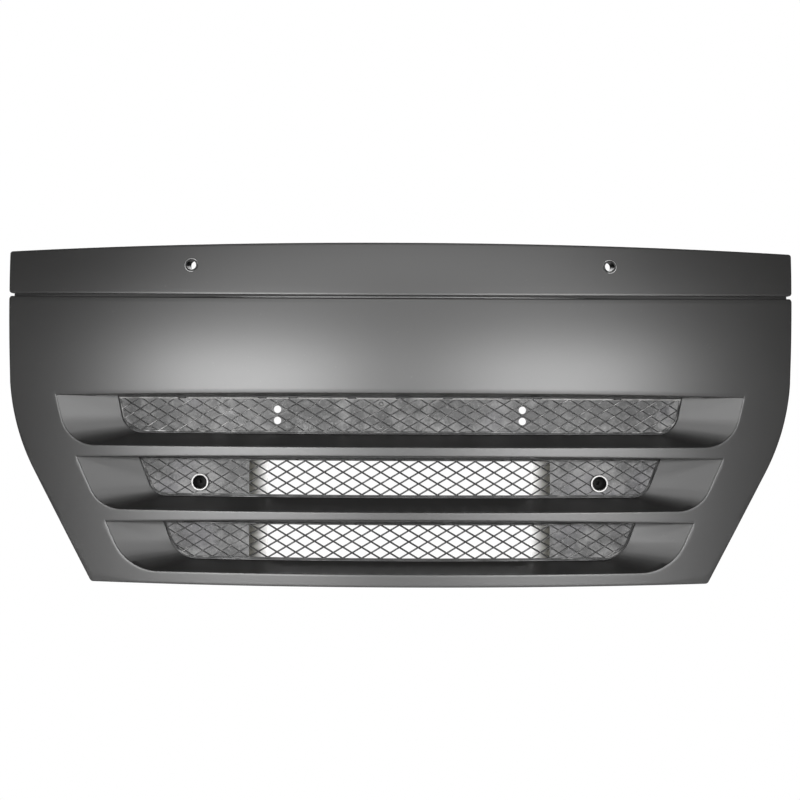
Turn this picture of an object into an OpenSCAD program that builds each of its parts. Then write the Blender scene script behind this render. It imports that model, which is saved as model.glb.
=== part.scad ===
// Front grille flap of a lorry cab: bowed panel, three slots with mesh inserts, top hinges, key locks.
// Frame: X across, Y back into the cab, Z up. The origin is the centre of the cab bolt pattern.

/* [Panel] */
// Width of the panel across its vertical sides
panel_w = 1620; // [1560:5:1660]
// Height of the panel at its centre
panel_h = 686; // [680:1:692]
// Radius of the bow, seen from above
bow_r = 2000; // [1950:10:2100]
// Wall thickness of the moulding
wall = 3; // [2.6:0.1:3.4]
// Height at which the face starts to lean back
lean_z = 390; // [380:1:400]
// Radius of the lean, seen from the side
lean_r = 996; // [950:1:1100]
// Radius of the curve between the vertical side and the taper
side_r = 430; // [400:5:450]
// Height at which that curve starts
side_z = 437; // [420:1:440]
// How much further out each side stands at the top
side_flare = 11; // [8:1:14]
// Taper of the lower sides
side_taper = 29.4; // [28:0.1:30]
// Depth of the edge that is turned back round the panel
return_d = 25; // [20:1:28]

/* [Joint between strip and panel] */
// Height of the middle of the joint line
joint_z = 576; // [574:1:578]
// Height of the open gap
joint_gap = 6; // [5:0.5:7]
// Rise of the joint line at the ends
joint_rise = 12; // [10:1:14]
// Setback of the flange behind the strip
flange_set = 28; // [28:0.5:29]

/* [Slots, from the top one down] */
// Upper edges
slot_top = [386, 260, 133];
// Lower edges
slot_low = [278, 149, 26];
// Half widths at the upper edge
slot_half = [704, 658, 595];
// Slant of the ends, in degrees
slot_slant = [14, 25, 25];
// Radii of the lower corners
slot_corner = [75, 72, 100];
// Fall of the upper edge at its ends
slot_fall = [5, 6, 10];
// Depth from the face to the inserts
slot_d = 55; // [50:1:58]

/* [Inserts, from the top one down] */
// Upper edges of the visible part
insert_top = [378, 254, 125];
// Lower edges of the visible part
insert_low = [302, 174, 47];
// Half widths at the upper edge
insert_half = [581, 536, 484];
// Slant of the ends, in degrees
insert_slant = [11.6, 22, 21];
// Radii of the lower corners
insert_corner = [45, 38, 62];
// Thickness of an insert
insert_t = 5; // [4:0.5:6]
// Width of the hidden rim of an insert
insert_rim = 11; // [10:0.5:12]
// Places of the spring clips along the upper edge
clip_x = [0, 97, 215, 278, 443];

/* [Mesh] */
// Width of one lozenge, centre to centre
mesh_w = 38; // [36:0.5:40]
// Height of one lozenge, centre to centre
mesh_h = 22.6; // [22:0.1:25]
// Size of a lozenge's opening as a share of its pitch
mesh_open = 0.85; // [0.8:0.01:0.88]
// Half width of the open part
mesh_half = 300; // [290:1:305]

/* [Holes] */
// Distance of each strip hole from the centre
strip_hole_x = 422; // [418:1:426]
// Height of the strip holes
strip_hole_z = 642; // [638:1:646]
// Radius of the clear hole through a collar
collar_bore_r = 9.5; // [9:0.1:10]
// Distance of each badge hole from the centre
badge_x = 247; // [244:1:252]
// Heights of the badge holes
badge_z = [328.7, 351.3];
// Radius of a badge hole
badge_r = 7.5; // [7:0.1:8]

/* [Locks] */
// Distance of each lock from the centre
lock_x = 405; // [403:1:407]
// Height of the lock axes
lock_z = 203; // [200:1:206]
// Clear radius of a key guide
guide_bore_r = 14; // [13:0.1:14.5]
// Radius of a lock spindle
spindle_r = 7; // [6.5:0.1:7.5]
// Length of a cam from its axis to its tip
cam_len = 70; // [60:1:75]

/* [Hinges] */
// Distance of each hinge from the centre
hinge_x = 350; // [348:1:352]
// Setback of the hinge axis behind the foremost point of the panel
hinge_y = 120; // [118:1:122]
// Height of the hinge axis above the lower edge
hinge_z = 621; // [619:1:623]
// Radius of a hinge pin
pin_r = 8; // [7.5:0.1:8.5]
// Distance from the hinge axis to the cab
bracket_reach = 70; // [68:1:74]
// Height between the two cab bolts of a bracket
bolt_pitch = 54; // [50:1:58]
// Radius of a cab bolt hole
bolt_hole_r = 5.5; // [5:0.1:6]

/* [Hidden] */
$fn = 72;
bow_fn = 360;
bow_half = 26;
half_w = panel_w / 2;
rear_r = bow_r - slot_d;
seat_gap = 0.2;
seam = 0.5;
floor_t = 2.5;
frame_w = 13;
cheek_w = 90;
corner_r = 8;
joint_low = joint_z - joint_gap / 2;
joint_high = joint_z + joint_gap / 2;
flange_r = bow_r - flange_set;
flange_top = 605;
flange_step_z = 555;
end_notch = 10;
top_rib_z = 677;
top_rib_d = 18;
top_fall = 6;
strip_screw_z = 594;
strip_screw_x = [0, 170, 340, 510, 680];
screw_r = 2;
screw_hole_r = 2.3;
screw_drop = 7;
screw_share = [0.12, 0.42, 0.72];
rail_w = 50;
rail_front = 115;
rail_back = 135;
rail_t = 3;
rail_top = 580;
rail_low = 4;
tower_r = 9;
tower_z = [13, 430, 490];
tower_screw_r = 3;
beam_z = 520;
beam_h = 40;
beam_d = 20;
beam_t = 2.5;
beam_half = 430;
housing_r = 13;
housing_back = 158;
run_gap = 0.05;
barrel_half = 20;
bush_r = 11;
cheek_t = 6;
cheek_gap = 2.5;

// Setback of the face at height z
function lean(z) = z <= lean_z ? 0 : lean_r - sqrt(lean_r * lean_r - (z - lean_z) * (z - lean_z));
collar_r = bow_r - lean(strip_hole_z);
// Setback, at distance x from the centre, of an arc of radius r that shares the bow's axis
function bow(x, r) = bow_r - sqrt(r * r - x * x);
function unit(v) = v / norm(v);
// Arc of radius r that rounds the corner at b between a and c
function corner_arc(a, b, c, r) = r == 0 ? [b] :
    let (u = unit(a - b), v = unit(c - b), half = acos(u * v) / 2)
    let (centre = b + unit(u + v) * r / sin(half), from = b + u * r / tan(half) - centre)
    let (to = b + v * r / tan(half) - centre, first = atan2(from.y, from.x))
    let (sweep = atan2(from.x * to.y - from.y * to.x, from * to))
    [for (i = [0:8]) centre + r * [cos(first + sweep * i / 8), sin(first + sweep * i / 8)]];
// Outline from a list of [x, z, corner radius]
function rounded(p) = [for (i = [0:len(p) - 1])
    let (n = len(p), a = p[(i + n - 1) % n], b = p[i], c = p[(i + 1) % n])
    each corner_arc([a.x, a.y], [b.x, b.y], [c.x, c.y], b.z)];
// Edge from x = -half to x = half that falls at its ends
function fallen_edge(half, z, fall) = [for (s = [-1:0.25:1]) [half * s, z - fall * s * s, 0]];
// Slot or insert outline, grown outwards by g
function slot_outline(half, top, low, slant, r, fall, g) =
    let (top_half = half + g / cos(slant) + g * tan(slant))
    let (low_half = top_half - (top - low + 2 * g) * tan(slant))
    rounded(concat(fallen_edge(top_half, top + g, fall),
        [[low_half, low - g, r + g], [-low_half, low - g, r + g]]));
function slot_at(i, g) = slot_outline(slot_half[i], slot_top[i], slot_low[i], slot_slant[i],
    slot_corner[i], slot_fall[i], g);
function insert_at(i, g) = slot_outline(insert_half[i], insert_top[i], insert_low[i],
    insert_slant[i], insert_corner[i], 0, g);
// Right side of the panel from z = high down to the lower corner, moved in by g
function side_x(z) = half_w + side_flare * max(0, z - side_z) / (panel_h - side_z);
function side_edge(high, g) =
    let (foot_z = side_z - side_r * sin(side_taper))
    let (foot_x = half_w - side_r * (1 - cos(side_taper)))
    let (corner_x = foot_x - foot_z * tan(side_taper) - g / cos(side_taper) + g * tan(side_taper))
    concat([[side_x(high) - g, high, 0]],
        [for (i = [0:8]) [half_w - side_r + (side_r - g) * cos(side_taper * i / 8),
            side_z - (side_r - g) * sin(side_taper * i / 8), 0]],
        [[corner_x, g, corner_r - min(g, corner_r - 1)]]);
function reversed(p) = [for (i = [len(p) - 1:-1:0]) p[i]];
function mirrored(p) = [for (q = reversed(p)) [-q.x, q.y, q.z]];
// Front view outline of the main panel, moved in by g at the sides and below
function main_outline(g) =
    let (side = side_edge(joint_low + joint_rise, g))
    let (end_x = side_x(joint_low + joint_rise) - g)
    rounded(concat(fallen_edge(end_x, joint_low, -joint_rise), side, mirrored(side)));

// Moves a child from the panel's frame (lower edge, foremost point) to the part's frame
module on_panel() {
    translate([0, -hinge_y - bracket_reach, -hinge_z]) children();
}

// Mirrors a right-hand child to the left
module left() {
    mirror([1, 0, 0]) children();
}

// Turns a child so that it faces out of an arc of radius r, at distance x from the centre
module on_bow(x, z, r) {
    translate([0, bow_r, z]) rotate([0, 0, asin(x / r)]) translate([0, -r, 0]) children();
}

// Solid of revolution about the bow's axis, from points [radius, height]
module swept(points) {
    translate([0, bow_r, 0])
        rotate_extrude(angle = 2 * bow_half, start = -90 - bow_half, $fn = bow_fn)
            polygon(points);
}

// Front view outline extruded from y = from to y = to
module through(points, from, to) {
    translate([0, to, 0]) rotate([90, 0, 0]) linear_extrude(to - from) polygon(points);
}

// Layer of the face between two depths and two heights
module layer(front, back, low, high) {
    steps = 6;
    z = [for (i = [0:steps]) low + (high - low) * i / steps];
    swept(concat([for (h = z) [bow_r - lean(h) - front, h]],
        [for (i = [steps:-1:0]) [bow_r - lean(z[i]) - back, z[i]]]));
}

// Round bar along Y between two depths
module bar_y(r, from, to) {
    translate([0, to, 0]) rotate([90, 0, 0]) cylinder(r = r, h = to - from);
}

// Round bar along X between two distances
module bar_x(r, from, to) {
    translate([from, 0, 0]) rotate([0, 90, 0]) cylinder(r = r, h = to - from);
}

// Hexagon along Y, measured over its corners
module hex_y(r, from, to) {
    translate([0, to, 0]) rotate([90, 0, 0]) cylinder(r = r, h = to - from, $fn = 6);
}

// Everything between two depths behind the face, from the lower edge to above the joint
module face_layer(front, back) {
    swept([[bow_r - front, -5], [bow_r - front, lean_z], [bow_r - back, lean_z],
        [bow_r - back, -5]]);
    layer(front, back, lean_z, joint_high + joint_rise);
}

// Face of the main panel with its turned-back edge, hollowed out from behind
module skin() {
    difference() {
        intersection() {
            face_layer(0, return_d);
            through(main_outline(0), -20, 260);
        }
        intersection() {
            face_layer(wall, return_d + 10);
            through(main_outline(wall), -30, 300);
        }
        for (i = [0:2]) through(slot_at(i, 0), -20, 260);
    }
}

module strip_screw_places() {
    for (x = strip_screw_x, s = x == 0 ? [1] : [-1, 1])
        on_bow(s * x, strip_screw_z, flange_r) children();
}

// Flange behind the strip, stepped back from the face
module joint_flange() {
    flange_half = side_x(joint_low) - end_notch;
    difference() {
        intersection() {
            swept([[flange_r, flange_step_z + wall], [flange_r, flange_top],
                [flange_r - floor_t, flange_top], [flange_r - floor_t, flange_step_z],
                [bow_r - lean(flange_step_z) - 1, flange_step_z],
                [bow_r - lean(flange_step_z) - 1, flange_step_z + wall]]);
            translate([-flange_half, -20, 0]) cube([2 * flange_half, 300, 700]);
        }
        strip_screw_places() bar_y(screw_hole_r, -5, 10);
    }
}

// Walls of slot i: sill, ceiling and end floors, and the frame that an insert lies against
module pocket(i) {
    outer_y = bow(slot_half[i], bow_r);
    inner_y = bow(insert_half[i], rear_r);
    slope = (inner_y - outer_y) / (slot_half[i] - insert_half[i]);
    far_x = slot_half[i] + 10;
    far_y = outer_y - 10 * slope;
    top = slot_top[i] + floor_t;
    low = slot_low[i] - floor_t;
    intersection() {
        union() {
            swept([[bow_r, slot_low[i]], [rear_r, insert_low[i]],
                [rear_r, insert_low[i] - floor_t], [bow_r, low]]);
            swept([[bow_r, top], [rear_r, insert_top[i] + floor_t],
                [rear_r, insert_top[i]], [bow_r, slot_top[i]]]);
            for (s = [-1, 1]) {
                translate([0, 0, low]) linear_extrude(top - low)
                    polygon([[s * far_x, far_y], [s * insert_half[i], inner_y],
                        [s * insert_half[i], inner_y + floor_t], [s * far_x, far_y + floor_t]]);
                intersection() {
                    difference() {
                        through(slot_at(i, floor_t), -20, 200);
                        through(slot_at(i, seam), -30, 210);
                    }
                    translate([s > 0 ? insert_half[i] - 60 : -far_x, -20, low])
                        cube([far_x - insert_half[i] + 60, 220, top - low]);
                }
            }
        }
        through(slot_at(i, floor_t), -20, 200);
        translate([0, 0, low]) linear_extrude(top - low)
            polygon([[-far_x, -60], [far_x, -60], [far_x, far_y + floor_t],
                [insert_half[i], inner_y + floor_t], [insert_half[i], 300],
                [-insert_half[i], 300], [-insert_half[i], inner_y + floor_t],
                [-far_x, far_y + floor_t]]);
        translate([0, bow_r, 0]) difference() {
            cylinder(r = bow_r - seam, h = panel_h, $fn = bow_fn);
            translate([0, 0, -1]) cylinder(r = rear_r + seam, h = panel_h + 2, $fn = bow_fn);
        }
    }
}

// Frame round the back of slot i, with the holes of the insert's screws
module insert_frame(i) {
    difference() {
        intersection() {
            swept([[rear_r + floor_t, slot_low[i] - 20], [rear_r + floor_t, slot_top[i] + 20],
                [rear_r, slot_top[i] + 20], [rear_r, slot_low[i] - 20]]);
            union() {
                through(insert_at(i, frame_w), -20, 220);
                for (s = [-1, 1])
                    translate([s * (insert_half[i] - cheek_w / 2) - cheek_w / 2, -20,
                            insert_low[i] - frame_w / 2])
                        cube([cheek_w, 240, insert_top[i] - insert_low[i] + frame_w]);
            }
        }
        through(insert_at(i, 0), -30, 240);
        insert_screw_places(i) bar_y(screw_hole_r, -10, 10);
    }
}

module insert_screw_places(i) {
    for (s = [-1, 1], share = screw_share)
        on_bow(s * share * insert_half[i] * 0.9, insert_low[i] - screw_drop, rear_r) children();
}

// Towers that carry the side rails
module towers() {
    for (s = [-1, 1], z = tower_z)
        difference() {
            intersection() {
                translate([s * lock_x, 0, z]) bar_y(tower_r, 0, rail_back - rail_t - 0.1);
                translate([0, bow_r, z - tower_r - 1])
                    cylinder(r = bow_r - lean(z) - wall / 2, h = 2 * tower_r + 2, $fn = bow_fn);
            }
            translate([s * lock_x, 0, z]) bar_y(tower_screw_r + 0.2, rail_back - 25, rail_back);
        }
}

module main_panel() {
    color("dimgray") on_panel() union() {
        skin();
        joint_flange();
        for (i = [0:2]) {
            pocket(i);
            insert_frame(i);
        }
        towers();
    }
}

// Strip above the joint, with bosses for its screws and collars let into its two holes
module upper_strip() {
    rib_r = bow_r - lean(top_rib_z) - wall / 2;
    color("dimgray") on_panel() difference() {
        union() {
            intersection() {
                union() {
                    layer(0, wall, joint_low, panel_h + 2);
                    swept([[rib_r, top_rib_z], [rib_r, top_rib_z + wall],
                        [rib_r - top_rib_d, top_rib_z + wall], [rib_r - top_rib_d, top_rib_z]]);
                }
                through(rounded(concat(fallen_edge(side_x(panel_h), panel_h, top_fall),
                    reversed(fallen_edge(side_x(joint_high), joint_high, -joint_rise)))), -20, 300);
            }
            strip_screw_places() bar_y(6, -flange_set + lean(strip_screw_z) + 1, -0.1);
        }
        strip_screw_places() bar_y(screw_r + 0.1, -4, 2);
        for (s = [-1, 1])
            on_bow(s * strip_hole_x, strip_hole_z, collar_r) bar_y(collar_bore_r + 2.2, -60, 60);
    }
}

// Foam strip between the strip and the flange
module joint_seal() {
    color("black") on_panel() intersection() {
        swept([[flange_r + 0.3, 577], [flange_r + 4.6, 577], [flange_r + 4.6, 584],
            [flange_r + 0.3, 584]]);
        translate([-half_w + 20, -20, 500]) cube([panel_w - 40, 300, 200]);
    }
}

module strip_screws() {
    color("silver") on_panel() strip_screw_places() union() {
        bar_y(screw_r, -3.5, floor_t + 1);
        hex_y(5, floor_t + 0.1, floor_t + 3.5);
    }
}

// Collar with a flange that lies on the face of the strip
module strip_collar() {
    color("gray") on_panel() on_bow(strip_hole_x, strip_hole_z, collar_r) difference() {
        union() {
            bar_y(collar_bore_r + 2, -5.5, 26);
            bar_y(collar_bore_r + 3.5, -5.5, -4);
        }
        bar_y(collar_bore_r, -10, 30);
    }
}

// Plate of insert i, behind its frame
module insert_plate(i) {
    difference() {
        intersection() {
            swept([[rear_r - seat_gap, insert_low[i] - 20], [rear_r - seat_gap, insert_top[i] + 20],
                [rear_r - seat_gap - insert_t, insert_top[i] + 20],
                [rear_r - seat_gap - insert_t, insert_low[i] - 20]]);
            through(insert_at(i, insert_rim), -20, 220);
        }
        insert_screw_places(i) bar_y(screw_hole_r, -10, 12);
    }
}

// One lozenge opening of the mesh
module lozenge(x, z) {
    w = mesh_w / 2 * mesh_open;
    h = mesh_h / 2 * mesh_open;
    translate([x, 160, z]) rotate([90, 0, 0])
        linear_extrude(140) polygon([[w, 0], [0, h], [-w, 0], [0, -h]]);
}

// Rows of lozenges over the open part of insert i
module mesh_openings(i) {
    mid = (insert_top[i] + insert_low[i]) / 2;
    columns = floor(mesh_half / (mesh_w / 2)) - 1;
    for (c = [-columns:columns], row = [-2:2])
        if ((c + row) % 2 == 0) lozenge(c * mesh_w / 2, mid + row * mesh_h / 2);
}

module grille_insert_top() {
    color("dimgray") on_panel() difference() {
        insert_plate(0);
        for (x = [-badge_x, badge_x], z = badge_z) translate([x, 0, z]) bar_y(badge_r, 20, 160);
    }
}

module grille_insert_middle() {
    color("dimgray") on_panel() difference() {
        insert_plate(1);
        mesh_openings(1);
        for (s = [-1, 1]) translate([s * lock_x, 0, lock_z]) bar_y(guide_bore_r + 3.7, 20, 160);
    }
}

module grille_insert_bottom() {
    color("dimgray") on_panel() difference() {
        insert_plate(2);
        mesh_openings(2);
    }
}

// Spring clips that grip the frame and the insert along the upper edge
module insert_clips(i) {
    clip_w = 16;
    clip_t = 1.2;
    back = seat_gap + insert_t + 0.2;
    top = insert_top[i] + frame_w + 0.3;
    color("silver") on_panel()
        for (x = clip_x, s = x == 0 ? [1] : [-1, 1])
            on_bow(s * x, top, rear_r) translate([-clip_w / 2, 0, 0]) union() {
                translate([0, -floor_t - 0.2 - clip_t, 0])
                    cube([clip_w, back + floor_t + 0.2 + 2 * clip_t, clip_t]);
                translate([0, back, -9]) cube([clip_w, clip_t, 9 + clip_t]);
                translate([0, -floor_t - 0.2 - clip_t, -5]) cube([clip_w, clip_t, 5 + clip_t]);
            }
}

module insert_screws(i) {
    head = seat_gap + insert_t + 0.1;
    color("silver") on_panel() insert_screw_places(i) union() {
        bar_y(screw_r, 0.3 - floor_t, head + 1);
        bar_y(4.5, head, head + 3);
    }
}

// Tube that leads the key through the middle insert
module key_guide() {
    color("gray") on_panel() translate([lock_x, 0, lock_z]) difference() {
        union() {
            bar_y(guide_bore_r + 3.5, 88, 123);
            bar_y(guide_bore_r + 6, 111, 113);
        }
        bar_y(guide_bore_r, 80, 130);
    }
}

// Vertical channel behind the closed ends of the inserts, open to the front
module side_rail() {
    web = rail_back - rail_t;
    color("darkgray") on_panel() translate([lock_x, 0, 0]) difference() {
        translate([-rail_w / 2, rail_front, rail_low])
            cube([rail_w, rail_back - rail_front, rail_top - rail_low]);
        translate([-rail_w / 2 + rail_t, rail_front - 5, rail_low - 1])
            cube([rail_w - 2 * rail_t, web - rail_front + 5, rail_top - rail_low + 2]);
        for (z = tower_z) translate([0, 0, z]) bar_y(tower_screw_r + 0.3, web - 5, rail_back + 5);
        translate([0, 0, beam_z + beam_h / 2]) bar_y(4.3, web - 5, rail_back + 5);
        translate([0, 0, lock_z]) bar_y(housing_r + 0.2, web - 5, rail_back + 5);
    }
}

module rail_screws() {
    color("silver") on_panel() for (z = tower_z)
        translate([lock_x, 0, z]) union() {
            bar_y(tower_screw_r, rail_back - 22, rail_back + 1);
            hex_y(6, rail_back + 0.1, rail_back + 4);
        }
}

// Square tube across the back, which carries the hinge arms
module top_rail() {
    front = rail_back;
    color("darkgray") on_panel() difference() {
        translate([-beam_half, front, beam_z]) cube([2 * beam_half, beam_d, beam_h]);
        translate([-beam_half - 1, front + beam_t, beam_z + beam_t])
            cube([2 * beam_half + 2, beam_d - 2 * beam_t, beam_h - 2 * beam_t]);
        for (s = [-1, 1]) {
            translate([s * lock_x, 0, beam_z + beam_h / 2]) bar_y(4.3, front - 5, front + beam_d + 5);
            for (dx = [-15, 15])
                translate([s * hinge_x + dx, front + beam_d / 2, beam_z + beam_h - 5])
                    cylinder(r = 3.3, h = 10);
        }
    }
}

// Bolts that hold the square tube to the rails, with nuts inside the channels
module top_rail_bolts() {
    web = rail_back - rail_t;
    color("silver") on_panel() for (s = [-1, 1])
        translate([s * lock_x, 0, beam_z + beam_h / 2]) union() {
            bar_y(4, web - 9, rail_back + beam_d + 1);
            hex_y(7.5, rail_back + beam_d + 0.1, rail_back + beam_d + 5.4);
            hex_y(7.5, web - 6.6, web - 0.1);
        }
}

// Rubber buffer that rests on the cab when the flap is shut
module bump_stop() {
    color("black") on_panel() translate([lock_x, 0, 60]) union() {
        bar_y(14, rail_back, rail_back + 6);
        bar_y(11, rail_back + 5, rail_back + 26);
    }
}

module lock_housing() {
    web = rail_back - rail_t;
    color("silver") on_panel() translate([lock_x, 0, lock_z]) difference() {
        union() {
            bar_y(18, web - 3, web);
            bar_y(housing_r, web - 1, housing_back);
        }
        bar_y(spindle_r + run_gap, web - 5, housing_back + 5);
    }
}

module lock_clamp_nut() {
    color("silver") on_panel() translate([lock_x, 0, lock_z]) difference() {
        hex_y(19, rail_back + 0.1, rail_back + 7);
        bar_y(housing_r + 0.15, rail_back - 5, rail_back + 12);
    }
}

// Spindle: collar with a square key socket, round bearing part, square end and stud
module lock_spindle() {
    web = rail_back - rail_t;
    square_a = 9;
    socket_a = 7;
    color("silver") on_panel() translate([lock_x, 0, lock_z]) difference() {
        union() {
            bar_y(10, web - 7, web - 3.4);
            bar_y(spindle_r, web - 4, housing_back + 0.4);
            translate([-square_a / 2, housing_back, -square_a / 2]) cube([square_a, 6.4, square_a]);
            bar_y(4, housing_back + 6, housing_back + 18);
        }
        translate([-socket_a / 2, web - 10, -socket_a / 2]) cube([socket_a, 15, socket_a]);
    }
}

// Cam: flat lever on the square end, pointing down when locked
module lock_cam() {
    square_a = 9.2;
    from = housing_back + 0.6;
    color("gray") on_panel() translate([lock_x, 0, lock_z]) difference() {
        union() {
            bar_y(14, from, from + 5);
            translate([-11, from, 11 - cam_len]) cube([22, 5, cam_len - 11]);
            translate([0, 0, 11 - cam_len]) bar_y(11, from, from + 5);
        }
        translate([-square_a / 2, from - 2, -square_a / 2]) cube([square_a, 10, square_a]);
    }
}

module lock_cam_nut() {
    from = housing_back + 6.5;
    color("silver") on_panel() translate([lock_x, 0, lock_z]) difference() {
        hex_y(7.8, from, from + 6.5);
        bar_y(4.1, from - 2, from + 10);
    }
}

// Arm: foot on the square tube, web and eye
module hinge_arm() {
    foot_z = beam_z + beam_h;
    back = rail_back + beam_d;
    color("darkgray") on_panel() translate([hinge_x, 0, 0]) difference() {
        union() {
            translate([-25, rail_back, foot_z]) cube([50, beam_d, 6]);
            translate([-5, 0, 0]) rotate([90, 0, 90]) linear_extrude(10)
                polygon([[rail_back, foot_z + 3], [back, foot_z + 3],
                    [hinge_y + 14, hinge_z + 4], [hinge_y - 12, hinge_z - 8]]);
            translate([0, hinge_y, hinge_z]) bar_x(16, -barrel_half, barrel_half);
        }
        translate([0, hinge_y, hinge_z]) bar_x(bush_r + 0.1, -barrel_half - 5, barrel_half + 5);
        for (dx = [-15, 15])
            translate([dx, rail_back + beam_d / 2, foot_z - 5]) cylinder(r = 3.3, h = 20);
    }
}

module arm_bolts() {
    foot_z = beam_z + beam_h;
    color("silver") on_panel() for (dx = [-15, 15])
        translate([hinge_x + dx, rail_back + beam_d / 2, foot_z]) union() {
            translate([0, 0, -12]) cylinder(r = 3, h = 19);
            translate([0, 0, 6.1]) cylinder(r = 5.8, h = 4, $fn = 6);
        }
}

// Two flanged bushes, one from each end of the eye
module hinge_bush() {
    color("goldenrod") on_panel() translate([hinge_x, hinge_y, hinge_z])
        for (s = [-1, 1]) difference() {
            union() {
                bar_x(bush_r, s > 0 ? 1 : -barrel_half - 1, s > 0 ? barrel_half + 1 : -1);
                bar_x(14.5, s > 0 ? barrel_half + 0.1 : -barrel_half - 2,
                    s > 0 ? barrel_half + 2 : -barrel_half - 0.1);
            }
            bar_x(pin_r + run_gap, -barrel_half - 10, barrel_half + 10);
        }
}

// Bracket on the cab: base with two bolt holes and two cheeks round the arm's eye
module hinge_bracket() {
    base_y = hinge_y + bracket_reach;
    cheek_x = barrel_half + cheek_gap;
    color("darkgray") on_panel() translate([hinge_x, 0, 0]) difference() {
        union() {
            translate([-40, base_y - 6, hinge_z - 42]) cube([80, 6, 84]);
            for (x = [-cheek_x - cheek_t, cheek_x]) {
                translate([x, hinge_y, hinge_z]) bar_x(15, 0, cheek_t);
                translate([x, hinge_y, hinge_z]) rotate([90, 0, 90]) linear_extrude(cheek_t)
                    polygon([[bracket_reach - 3, -38], [bracket_reach - 3, 30], [0, 15], [-8, -12]]);
            }
        }
        translate([0, hinge_y, hinge_z]) bar_x(pin_r + 0.1, -60, 60);
        for (dz = [-bolt_pitch / 2, bolt_pitch / 2])
            translate([0, 0, hinge_z + dz]) bar_y(bolt_hole_r, base_y - 15, base_y + 5);
    }
}

// Pin with a head at one end and a groove for its clip at the other
module hinge_pin() {
    head_x = barrel_half + cheek_gap + cheek_t;
    color("silver") on_panel() translate([hinge_x, hinge_y, hinge_z]) difference() {
        union() {
            bar_x(pin_r, -head_x - 5, head_x + 6);
            bar_x(11.5, -head_x - 5, -head_x - 0.1);
        }
        difference() {
            bar_x(20, head_x + 2, head_x + 3.4);
            bar_x(6, head_x + 1, head_x + 5);
        }
    }
}

module pin_clip() {
    head_x = barrel_half + cheek_gap + cheek_t;
    color("silver") on_panel() translate([hinge_x, hinge_y, hinge_z]) difference() {
        bar_x(12, head_x + 2.1, head_x + 3.3);
        bar_x(6.1, head_x, head_x + 5);
        translate([head_x, -3.5, -20]) cube([5, 7, 20]);
    }
}

main_panel();
upper_strip();
joint_seal();
strip_screws();
left() strip_collar();  // strip_collar_left
strip_collar();  // strip_collar_right
grille_insert_top();
grille_insert_middle();
grille_insert_bottom();
insert_clips(0);  // insert_clips_top
insert_clips(1);  // insert_clips_middle
insert_clips(2);  // insert_clips_bottom
insert_screws(0);  // insert_screws_top
insert_screws(1);  // insert_screws_middle
insert_screws(2);  // insert_screws_bottom
left() key_guide();  // key_guide_left
key_guide();  // key_guide_right
left() side_rail();  // side_rail_left
side_rail();  // side_rail_right
left() rail_screws();  // rail_screws_left
rail_screws();  // rail_screws_right
top_rail();
top_rail_bolts();
left() bump_stop();  // bump_stop_left
bump_stop();  // bump_stop_right
left() lock_housing();  // lock_housing_left
lock_housing();  // lock_housing_right
left() lock_clamp_nut();  // lock_clamp_nut_left
lock_clamp_nut();  // lock_clamp_nut_right
left() lock_spindle();  // lock_spindle_left
lock_spindle();  // lock_spindle_right
left() lock_cam();  // lock_cam_left
lock_cam();  // lock_cam_right
left() lock_cam_nut();  // lock_cam_nut_left
lock_cam_nut();  // lock_cam_nut_right
left() hinge_arm();  // hinge_arm_left
hinge_arm();  // hinge_arm_right
left() arm_bolts();  // arm_bolts_left
arm_bolts();  // arm_bolts_right
left() hinge_bush();  // hinge_bush_left
hinge_bush();  // hinge_bush_right
left() hinge_bracket();  // hinge_bracket_left
hinge_bracket();  // hinge_bracket_right
left() hinge_pin();  // hinge_pin_left
hinge_pin();  // hinge_pin_right
left() pin_clip();  // pin_clip_left
pin_clip();  // pin_clip_right
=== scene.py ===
import math

import bmesh
import bpy
import numpy as np
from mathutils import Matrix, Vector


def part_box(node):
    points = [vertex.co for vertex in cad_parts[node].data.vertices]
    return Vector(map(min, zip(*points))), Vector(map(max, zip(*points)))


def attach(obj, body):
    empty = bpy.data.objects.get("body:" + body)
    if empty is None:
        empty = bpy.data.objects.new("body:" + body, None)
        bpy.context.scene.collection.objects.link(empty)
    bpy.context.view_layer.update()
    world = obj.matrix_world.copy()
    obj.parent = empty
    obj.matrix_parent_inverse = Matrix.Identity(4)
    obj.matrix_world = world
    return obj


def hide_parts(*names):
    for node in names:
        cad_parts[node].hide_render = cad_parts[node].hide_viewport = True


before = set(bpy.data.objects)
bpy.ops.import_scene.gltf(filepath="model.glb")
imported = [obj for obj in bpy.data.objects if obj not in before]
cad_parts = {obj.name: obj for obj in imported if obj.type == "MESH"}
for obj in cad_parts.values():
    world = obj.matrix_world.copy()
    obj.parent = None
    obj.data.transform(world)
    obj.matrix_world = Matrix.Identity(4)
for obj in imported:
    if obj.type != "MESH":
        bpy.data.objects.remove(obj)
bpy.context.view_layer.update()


faceY, footZ = np.array(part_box("main_panel"))[0, 1:]  # foremost point and lower edge of the panel
shape = {
    "halfW": 0.810,  # half width below the flare
    "bowR": 2.0,  # radius seen from above
    "leanR": 0.996,  # radius seen from the side
    "leanZ": 0.390,  # height at which the face starts to lean back
    "flareZ": 0.437, "flareTop": 0.686, "flare": 0.011,
    "slotD": 0.055,  # depth of the inserts behind the face
    "wall": 0.0026,
}
rearR = shape["bowR"] - shape["slotD"]  # bow of the inserts
halfW = shape["halfW"]


def onPanel(x, y, z):
    # points given from the lower edge and the foremost point, moved to where the frame has them
    x, y, z = np.broadcast_arrays(x, y, z)
    return np.stack([x, y + faceY, z + footZ], axis=-1)


def lean(z):
    # how far an arc of radius leanR has fallen back at height z
    rise = np.clip(z - shape["leanZ"], 0, None)
    return shape["leanR"] - np.sqrt(shape["leanR"] ** 2 - rise ** 2)


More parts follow.
